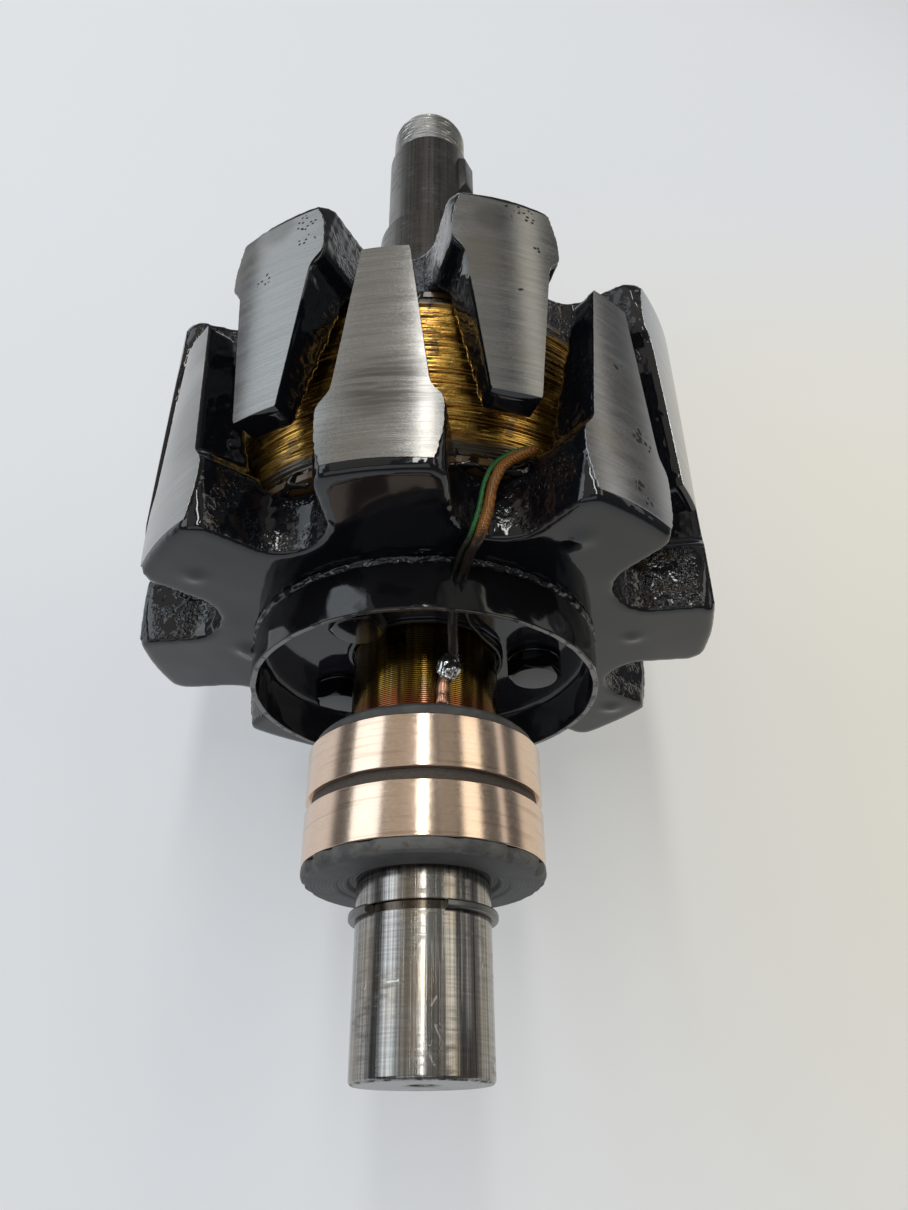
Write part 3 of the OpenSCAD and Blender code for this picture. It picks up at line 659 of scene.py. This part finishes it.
def groundFaces(name, slot, turns, front, way, seed, finishes):
    outline = np.array(groundFace["outline"])
    rows, columns = groundFace["rows"], groundFace["columns"]
    z = np.linspace(0, groundFace["length"], rows)
    allPoints, allFaces, allMarks, used = [], [], [], 0
    for index, turn in enumerate(turns):
        rng = np.random.default_rng(seed + index)
        wobble = [sum(rng.uniform(0.4, 1) * np.sin(z * f + rng.uniform(0, 6.28)) for f in groundFace["waves"]) * 0.4
                  for _ in "ab"]
        corner = np.clip(1 - z / 15, 0, 1)
        width = np.interp(z, outline[:, 0], outline[:, 1])
        left = -width + wobble[0] * groundFace["ragged"] * (0.25 + 2.2 * corner)
        right = width + wobble[1] * groundFace["ragged"] * (0.25 + 2.2 * corner)
        share = np.linspace(0, 1, columns)[None, :]
        u = left[:, None] + (right - left)[:, None] * share
        frontBow = 0.25 * np.sin(np.linspace(0, 3.14, columns) + rng.uniform(-0.5, 0.5))[None, :] * corner[:, None] ** 8
        zGrid = z[:, None] + frontBow
        lift = np.sqrt(groundFace["radius"] ** 2 - u ** 2)
        grid = np.stack([u, zGrid, lift], -1).reshape(-1, 3)
        number = np.arange(rows * columns).reshape(rows, columns)
        rim = np.concatenate([number[0], number[1:, -1], number[-1, -2::-1], number[-2:0:-1, 0]])
        edge = grid[rim]
        along = np.roll(edge, -1, 0) - np.roll(edge, 1, 0)
        out = np.stack([along[:, 1], -along[:, 0], 0 * along[:, 0]], -1)
        out /= np.maximum(np.linalg.norm(out, axis=1), 1e-9)[:, None]
        burr = edge + out * 0.05 - (0, 0, groundFace["burr"])
        wall = edge + out * 0.05 - (0, 0, groundFace["depth"])
        points = np.concatenate([grid, burr, wall])
        top = gridFaces(rows, columns, False, False)
        count = len(rim)
        k = np.arange(count)
        nextK = (k + 1) % count
        firstRing, secondRing = rows * columns, rows * columns + count
        bevel = np.stack([rim[k], rim[nextK], firstRing + nextK, firstRing + k], -1)
        side = np.stack([firstRing + k, firstRing + nextK, secondRing + nextK, secondRing + k], -1)
        swing = math.radians(turn)
        x = points[:, 0] * math.cos(swing) + points[:, 2] * math.sin(swing)
        up = -points[:, 0] * math.sin(swing) + points[:, 2] * math.cos(swing)
        y = front + way * (groundFace["overhang"] + points[:, 1])
        allPoints.append(np.stack([x, y, up + axisHeight], -1) * 0.001)
        allFaces.append(np.concatenate([top, bevel, side]) + used)
        allMarks.append(np.concatenate([np.zeros(len(top) + count), np.ones(count)]))
        used += len(points)
    return addPiece(name, np.concatenate(allPoints), np.concatenate(allFaces), finishes, slot=slot, sharp=30,
                    marks=np.concatenate(allMarks))


clawFinishes = [groundSteel(), poleVarnish]
slipTurns = [-11.25 + 45 * k for k in range(8)]
driveTurns = [11.25 + 45 * k for k in range(8)]
groundFaces("slipGroundFaces", "slip_pole", slipTurns, slipPole[0], 1, 100, clawFinishes)
groundFaces("driveGroundFaces", "drive_pole", driveTurns, drivePole[1], -1, 200, clawFinishes)
print("claw faces ground")

# field coil: layered turns of enamelled wire

coilFirst, coilLast, coilRadius = span("field_coil")
windingMiddle, windingHalf = (coilFirst + coilLast) * 0.0005, (coilLast - coilFirst) * 0.0005
winding = {"turns": 58, "rowsPerTurn": 5, "wire": 0.36, "sink": 0.25, "inner": 30.0, "strays": 26, "strayWire": 0.34}


def woundLoop():
    rows = winding["turns"] * winding["rowsPerTurn"]
    y = np.linspace(coilFirst + 0.05, coilLast - 0.05, rows)
    ends = np.minimum(y - coilFirst, coilLast - y)
    radius = coilRadius - winding["sink"] - 1.7 * np.clip(1 - ends / 3.0, 0, 1) ** 2
    inside = [[winding["inner"], coilLast - 0.05], [winding["inner"], coilFirst + 0.05]]
    return np.concatenate([np.stack([radius, y], -1), inside])


def woundShape(radius, y, swing):
    outside = radius > winding["inner"] + 1
    t = np.radians(swing)
    step = (coilLast - coilFirst) / winding["turns"]
    drift = 0.35 * np.sin(2 * t + y * 0.21) + 0.22 * np.sin(5 * t + y * 0.5 + 1) + 0.12 * np.sin(11 * t + y * 1.3)
    phase = (y + drift * 0.6) / step
    part = phase - np.floor(phase)
    crown = winding["wire"] * (np.sqrt(np.clip(1 - (2 * part - 1) ** 2, 0, 1)) - 1)
    rise = 0.14 * np.sin(3 * t + np.floor(phase) * 2.4) + 0.1 * np.sin(np.floor(phase) * 5.1)
    return np.where(outside, radius + crown + rise - 0.1, radius), y


windingFinish = windingWire()
spun("fieldWinding", woundLoop(), windingFinish, 192, woundShape, node="field_coil", slot="winding", sharp=80)


def strayTurns():  # single turns that cross the layer below
    rng = np.random.default_rng(5)
    points, faces, used = [], [], 0
    for _ in range(winding["strays"]):
        start, sweep = rng.uniform(0, 360), rng.uniform(70, 200)
        y0 = rng.uniform(coilFirst + 3.5, coilLast - 3.5)
        slant = rng.uniform(-2.4, 2.4)
        t = np.linspace(0, 1, 70)
        y = np.clip(y0 + slant * (t - 0.5) + 0.25 * np.sin(t * 9 + start), coilFirst + 2.6, coilLast - 2.6)
        swing = start + sweep * t
        radius = coilRadius + 0.02 - 0.8 * (np.abs(2 * t - 1) ** 6)
        k = np.arange(8) * math.pi / 4
        ringR = radius[:, None] - winding["strayWire"] + winding["strayWire"] * np.cos(k)[None, :]
        ringY = y[:, None] + winding["strayWire"] * np.sin(k)[None, :]
        points.append(around(swing[:, None], ringR, ringY).reshape(-1, 3))
        faces.append(gridFaces(70, 8, False, True) + used)
        used += 70 * 8
    return addPiece("strayTurns", np.concatenate(points), np.concatenate(faces), windingFinish,
                    slot="winding", sharp=80)


strayTurns()

endBeads = {"inner": 44.6, "outer": 46.2, "top": 47.2, "plate": 13.4, "overlap": 1.6, "lump": 0.45}


def beadShape(radius, y, swing):
    spots = (around(swing, radius, y) * 1000).reshape(-1, 3)
    lump = endBeads["lump"] * (ripple(spots, 4.5, 3) + 0.6 * ripple(spots, 1.9, 4)).reshape(radius.shape)
    return np.minimum(radius + lump, endBeads["top"]), y


beadFinish = darkVarnish("beadVarnish", shade(0.004, 0.003, 0.003), shade(0.035, 0.018, 0.006))
for name, y0, y1 in (("nearBead", slipPole[0] + endBeads["plate"], coilFirst + endBeads["overlap"]),
                     ("farBead", coilLast - endBeads["overlap"], drivePole[1] - endBeads["plate"])):
    inner, outer = endBeads["inner"], endBeads["outer"]
    beadLoop = eased([(inner, y0), (outer, y0), (outer, y1), (inner, y1)], 0.9, 6)
    spun(name, beadLoop, beadFinish, 360, beadShape, slot="former", sharp=80)
print("coil wound")

# shaft

shaftFirst, shaftLast, _ = span("shaft")
clipFirst, clipLast, clipRadius = span("circlip")
shaftPlan = {
    "journal": 12.5, "groove": 0.8, "seat": 14.5,
    "collar": (19.0, 8.0), "bearing": (14.0, 61.0),  # radius, reach beyond the drive-end plate
    "pulley": (12.0, 38.3),  # radius, length
    "relief": 9.8, "threadRadius": 11.0, "threadLength": 13.4, "pitch": 1.5, "threadDepth": 0.75,
    "centre": 3.5, "centreDepth": 9.6,
    # nicks on the journal: turn, y, slant, length, width
    "nicks": ((-27.2, -120.6, 2, 2.6, 0.5), (8, -128.4, 112, 3.2, 0.36), (3.6, -132.4, 118, 2.2, 0.32),
              (4.8, -123.8, 60, 2.2, 0.3), (-54.6, -120.9, 60, 1.3, 0.5), (51.8, -117.5, 80, 1.3, 0.5),
              (130, -124, 20, 3, 0.4), (-150, -115, 75, 4, 0.35)),
}


def shaftLoop():
    plan = shaftPlan
    journal, seat, relief, crest = plan["journal"], plan["seat"], plan["relief"], plan["threadRadius"]
    (collar, collarReach), (bearing, bearingReach) = plan["collar"], plan["bearing"]
    pulley, pulleyLong = plan["pulley"]
    wide, narrow, deep = plan["centre"], plan["centre"] * 0.5, plan["centreDepth"]
    front, back = slipPole[0], drivePole[1]
    collarEnd, bearingEnd = back + collarReach, back + bearingReach
    pulleyEnd = bearingEnd + pulleyLong
    clip = journal - plan["groove"]
    lower = eased([
        (0, shaftFirst + deep), (narrow, shaftFirst + deep), (narrow, shaftFirst + 3.0), (wide, shaftFirst, 0.3),
        (journal - 0.5, shaftFirst, 0.2), (journal, shaftFirst + 0.5, 0.2), (journal, clipFirst), (clip, clipFirst),
        (clip, clipLast), (journal, clipLast), (journal, front), (seat, front), (seat, back), (collar, back),
        (collar, collarEnd - 1), (collar - 1, collarEnd), (bearing, collarEnd), (bearing, bearingEnd - 0.8),
        (pulley, bearingEnd), (pulley, pulleyEnd - 0.6), (pulley - 0.6, pulleyEnd), (relief, pulleyEnd),
        (relief, pulleyEnd + 1.5)], 0.12, 3)
    y = np.arange(pulleyEnd + 1.6, shaftLast - 0.02, 0.14)
    runOut, chamfer = relief + (y - pulleyEnd - 1.4) * 1.3, crest - 1.6 + (shaftLast - y)
    top = np.minimum(crest, np.minimum(runOut, chamfer))
    upper = eased([(crest - 1.7, shaftLast), (wide, shaftLast), (narrow, shaftLast - 3), (narrow, shaftLast - deep),
                   (0, shaftLast - deep)], 0.2, 3)
    return np.concatenate([lower, np.stack([top, y], -1), upper]), y[0], y[-1]


shaftProfile, threadFirst, threadLast = shaftLoop()


def threadShape(radius, y, swing):
    inThread = (y >= threadFirst) & (y <= threadLast) & (radius > 9)
    phase = y / shaftPlan["pitch"] - swing / 360
    part = np.abs(2 * (phase - np.floor(phase)) - 1)
    cut = shaftPlan["threadRadius"] - shaftPlan["threadDepth"] * np.clip(1.25 * part - 0.12, 0, 1)
    return np.where(inThread, np.minimum(radius, cut), radius), y


spun("turnedShaft", shaftProfile, shaftSteel(), 160, threadShape, hollow=False,
     node="shaft", slot="shaft_steel", sharp=32)

clipPlan = {"opening": 66, "middle": -18.5, "inner": 11.75}


def circlipPiece():
    inner, gap = clipPlan["inner"], clipPlan["opening"] / 2
    loop = eased([(inner, clipFirst), (clipRadius, clipFirst), (clipRadius, clipLast), (inner, clipLast)], 0.5, 5)
    turns = np.linspace(clipPlan["middle"] + gap, clipPlan["middle"] + 360 - gap, 140)
    points = around(turns[:, None], loop[None, :, 0], loop[None, :, 1]).reshape(-1, 3)
    faces = [list(f) for f in gridFaces(len(turns), len(loop), False, True)]
    faces += [list(range(len(loop))), list(range((len(turns) - 1) * len(loop), len(turns) * len(loop)))]
    finish = darkSteel("springSteel", shade(0.07, 0.068, 0.066), shade(0.3, 0.295, 0.285))
    return addPiece("retainingRing", points, faces, finish, node="circlip", slot="spring_steel", sharp=40)


circlipPiece()


def softCopy(name, node, finish, bevel=0.0, lump=0.0, levels=0, seed=1, sharp=50, drawn=None):
    steps = []
    if bevel:
        steps.append(("BEVEL", {"width": bevel * 0.001, "segments": 3, "limit_method": "ANGLE",
                                "angle_limit": math.radians(28)}))
    if levels:
        steps.append(("SUBSURF", {"levels": levels, "render_levels": levels}))
    mesh = pressed(welded(node), *steps)
    if lump:
        points, normals = meshPoints(mesh)
        push = lump * ripple(points, 2.2, seed) + 0.5 * lump * ripple(points, 0.9, seed + 1)
        points = points + normals * push[:, None]
        if drawn:  # longer along one way, and moved back along it
            way, longer, back = np.array(drawn[0]), drawn[1], drawn[2]
            off = (points - points.mean(0)) @ way
            points = points + np.outer(off * (longer - 1) - back, way)
        setPoints(mesh, points)
    mesh.materials.clear()
    mesh.materials.append(finish)
    return settlePiece(name, mesh, node, sharp)


keySteel = darkSteel("keySteel", shade(0.03, 0.03, 0.03), shade(0.16, 0.155, 0.15))
softCopy("discKey", "shaft_key", keySteel, 0.3)
print("shaft turned")

# slip rings, hub and sleeve

ringPlan = {"bed": 19.5, "edge": 0.22}
for name, node in (("outerRing", "slip_ring_outer"), ("innerRing", "slip_ring_inner")):
    y0, y1, radius = span(node)
    bed, edge = ringPlan["bed"], ringPlan["edge"]
    ringLoop = eased([(bed, y0, 0), (radius, y0), (radius, y1), (bed, y1, 0)], edge, 4)
    spun(name, ringLoop, ringCopper(), 256, node=node, slot="ring_copper")

hubFirst, hubLast, hubRadius = span("slip_ring_hub")
outerRing, innerRing = span("slip_ring_outer"), span("slip_ring_inner")
hubPlan = {
    "bore": 12.5, "grooveDepth": 1.1, "rough": 0.06,
    # chips in the flange: turn, width in degrees, depth
    "chips": ((64, 3.5, 0.8), (38, 3, 0.5), (10, 4, 0.4), (-30, 5, 0.5), (-50, 3, 0.5), (-66, 4, 0.8), (86, 3, 0.6),
              (94, 3, 1.2), (101, 3.5, 1.6), (110, 4, 0.9), (150, 5, 0.5), (-97, 4, 0.9), (-108, 4, 0.6),
              (-145, 6, 0.4), (175, 6, 0.4)),
}


def hubLoop():
    r, b, f, bed = hubRadius, hubPlan["bore"], hubFirst, ringPlan["bed"]
    groove, collar = r - hubPlan["grooveDepth"], r - 1.2
    return eased([
        (b, f + 1), (b + 1.5, f + 1), (b + 1.9, f + 0.3), (b + 3.6, f + 0.3), (b + 4, f), (r - 1.3, f, 0.5),
        (r - 0.3, f + 0.6, 0.4), (r, f + 1.3, 0.4), (r, f + 2), (r, outerRing[0] - 0.1), (bed, outerRing[0] - 0.05),
        (bed, outerRing[1]), (groove, outerRing[1]), (groove, innerRing[0]), (bed, innerRing[0]), (bed, innerRing[1]),
        (collar, innerRing[1]), (collar, hubLast - 0.8), (r - 2, hubLast), (b, hubLast)], 0.16, 3)


def hubShape(radius, y, swing):
    flange = np.clip((radius - hubRadius + 1.5) / 1.2, 0, 1) * (y < outerRing[0] + 0.01)
    chips = 0
    for turn, wide, deep in hubPlan["chips"]:
        gap = np.mod(swing - turn + 180, 360) - 180
        chips = np.maximum(chips, deep * np.clip(1.2 - (gap / wide) ** 2, 0, 1))
    spots = (around(swing, radius, y) * 1000).reshape(-1, 3)
    skin = (radius < hubRadius + 0.1) * (radius > ringPlan["bed"] + 0.5)
    grit = hubPlan["rough"] * ripple(spots, 1.6, 8).reshape(radius.shape) * skin
    return radius - flange * chips - np.abs(grit), y + flange * chips * 0.3 * (y < hubFirst + 1.5)


spun("ringHub", hubLoop(), mouldedHub(), 300, hubShape, node="slip_ring_hub", slot="hub_insulation", sharp=45)

sleeveFirst, sleeveLast, sleeveRadius = span("insulating_sleeve")
sleevePlan = {"inner": 12.5, "flare": 0.9, "laps": 0.025, "lap": 0.42}


def sleeveLoop():
    inner, r = sleevePlan["inner"], sleeveRadius
    y = np.arange(sleeveFirst + 1.4, sleeveLast - 0.1, sleevePlan["lap"] / 6)
    ridges = r - 0.06 + sleevePlan["laps"] * np.sin(y * 6.283 / sleevePlan["lap"])
    flare = [(inner, sleeveFirst), (r + sleevePlan["flare"], sleeveFirst), (r + 0.55, sleeveFirst + 0.35),
             (r + 0.15, sleeveFirst + 0.8)]
    return np.concatenate([flare, np.stack([ridges, y], -1), [(r - 0.05, sleeveLast), (inner, sleeveLast)]])


spun("amberSleeve", sleeveLoop(), amberSleeve(), 128, node="insulating_sleeve", slot="amber_sleeve", sharp=60)
print("slip rings seated")

# seal cup with its bolts and leads

cupFirst, cupLast, cupRadius = span("seal_cup")
cupPlan = {
    "wall": 1.2, "bend": 2.2, "lip": 15.5, "lump": 0.07,
    # drips: turn, place behind the rim, width, height
    "drips": ((-60, 4, 1.1, 0.22), (-33, 6.5, 1.3, 0.25), (28, 3.4, 0.9, 0.25), (62, 5.5, 1.2, 0.3), (-95, 6, 1.2, 0.3),
              (150, 5, 1.3, 0.3), (-8, 5, 0.6, 0.2), (4, 6.4, 0.5, 0.2), (-20, 3.2, 0.5, 0.16), (14, 2.6, 0.6, 0.16),
              (40, 6.8, 0.7, 0.2)),
}


def cupLoop():
    wall, lip = cupPlan["wall"], cupPlan["lip"]
    inner, base = cupRadius - wall, cupLast - wall
    return eased([
        (lip, cupLast, 0), (cupRadius, cupLast, cupPlan["bend"]), (cupRadius, cupLast - 5, 0),
        (cupRadius, cupFirst, 0.4), (inner, cupFirst, 0.35), (inner, base - 4, 0), (inner, base, 1.6), (20, base, 0),
        (lip + 1, base, 0.4), (lip + 1, base - 0.9, 0.3), (lip, base - 0.9, 0.3)], 0.3, 6)


def cupShape(radius, y, swing):
    spots = (around(swing, radius, y) * 1000).reshape(-1, 3)
    lump = cupPlan["lump"] * (ripple(spots, 7, 21) + 0.5 * ripple(spots, 2.6, 22)).reshape(radius.shape)
    outside = np.clip((radius - cupRadius + 0.4) / 0.3, 0, 1)
    for turn, behind, wide, high in cupPlan["drips"]:
        gap = (np.mod(swing - turn + 180, 360) - 180) * math.pi / 180 * cupRadius
        along = y - cupFirst - behind
        lump = lump + outside * high * np.exp(-(gap ** 2) / (2 * wide ** 2) - along ** 2 / (2 * (wide * 1.2) ** 2))
    return radius + lump * (radius > cupPlan["lip"] + 0.5), y


def denser(loop, step):  # adds points along the longer runs of a profile
    rows = []
    for here, ahead in zip(loop, np.roll(loop, -1, 0)):
        parts = max(1, int(np.linalg.norm(ahead - here) / step))
        rows += [here + (ahead - here) * k / parts for k in range(parts)]
    return np.array(rows)


# the cup's low colour is a lighter bluish black: a painted bluish reflection inside the cup
cupVarnish = blackVarnish("cupVarnish", castRough=0.25, rimAt=cupFirst * 0.001,
                          low=shade(0.02, 0.021, 0.027), gloss=0.42)
spun("sealCup", denser(cupLoop(), 1.0), cupVarnish, 240, cupShape, node="seal_cup", slot="cup_varnish", sharp=60)
boltVarnish = blackVarnish("boltVarnish", castRough=0.15)
cupBead = {"size": 0.7, "lump": 0.16}


def beadRound(radius, y, swing):
    spots = (around(swing, radius, y) * 1000).reshape(-1, 3)
    lump = cupBead["lump"] * (ripple(spots, 3.2, 41) + 0.7 * ripple(spots, 1.3, 42)).reshape(radius.shape)
    free = np.clip((cupLast - y) / 0.4, 0, 1)
    return radius + lump * free, np.minimum(y - lump * free, cupLast)


r, size = cupRadius, cupBead["size"]
beadRing = [(r - 1.5, cupLast), (r + size * 0.7, cupLast), (r + size * 0.25, cupLast - 0.7), (r - 0.3, cupLast - 1.3),
            (r - 1.5, cupLast - 1.0)]
spun("cupBead", denser(eased(beadRing, 0.4, 4), 0.3), boltVarnish, 420, beadRound, slot="cup_varnish", sharp=80)
for seat in ("right", "upper", "lower"):
    softCopy("cupBolt." + seat, "cup_bolt_" + seat, boltVarnish, 0.35, sharp=70)
    softCopy("cupWasher." + seat, "cup_washer_" + seat, boltVarnish, 0.3, sharp=70)

leads = {
    "brownLead": ("coil_lead_brown", "brown_lead", shade(0.085, 0.025, 0.005), shade(0.52, 0.21, 0.038), 0.04, 5),
    "greenLead": ("coil_lead_green", "green_lead", shade(0.007, 0.05, 0.012), shade(0.034, 0.22, 0.052), 0.03, 6),
}
for name, (node, slot, low, high, lump, seed) in leads.items():
    sleeve = leadSleeve(name.replace("Lead", "Sleeve"), low, high)
    softCopy(name, node, sleeve, lump=lump, levels=1, seed=seed, sharp=80)
terminalCopper = bareCopper("terminalCopper", shade(0.45, 0.2, 0.11), shade(0.85, 0.5, 0.35), 0.2)
solderFinish = bareCopper("solderMetal", shade(0.42, 0.41, 0.4), shade(0.85, 0.85, 0.84), 0.12)
solderPlan = {"top": (0.28, 0.96, 0), "bottom": (-0.28, 0.96, 0), "longer": 1.9, "back": 1.5, "lump": 0.22}
for end in ("top", "bottom"):
    softCopy("ringTerminal." + end, "terminal_" + end, terminalCopper,
             lump=0.05, levels=1, seed=7, sharp=80)
    drawn = (solderPlan[end], solderPlan["longer"], solderPlan["back"])
    softCopy("solderJoint." + end, "solder_" + end, solderFinish,
             lump=solderPlan["lump"], levels=1, seed=8, sharp=80, drawn=drawn)
print("cup, bolts and leads fitted")

# solids that stay as they are, hidden inside the coil

coreFinish = darkSteel("coreSteel", shade(0.04, 0.04, 0.04), shade(0.14, 0.135, 0.13))
fibreFinish = varnishedFibre()
for node, finish in (("pole_core", coreFinish), ("coil_former", fibreFinish)):
    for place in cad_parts[node].material_slots:
        place.material = finish
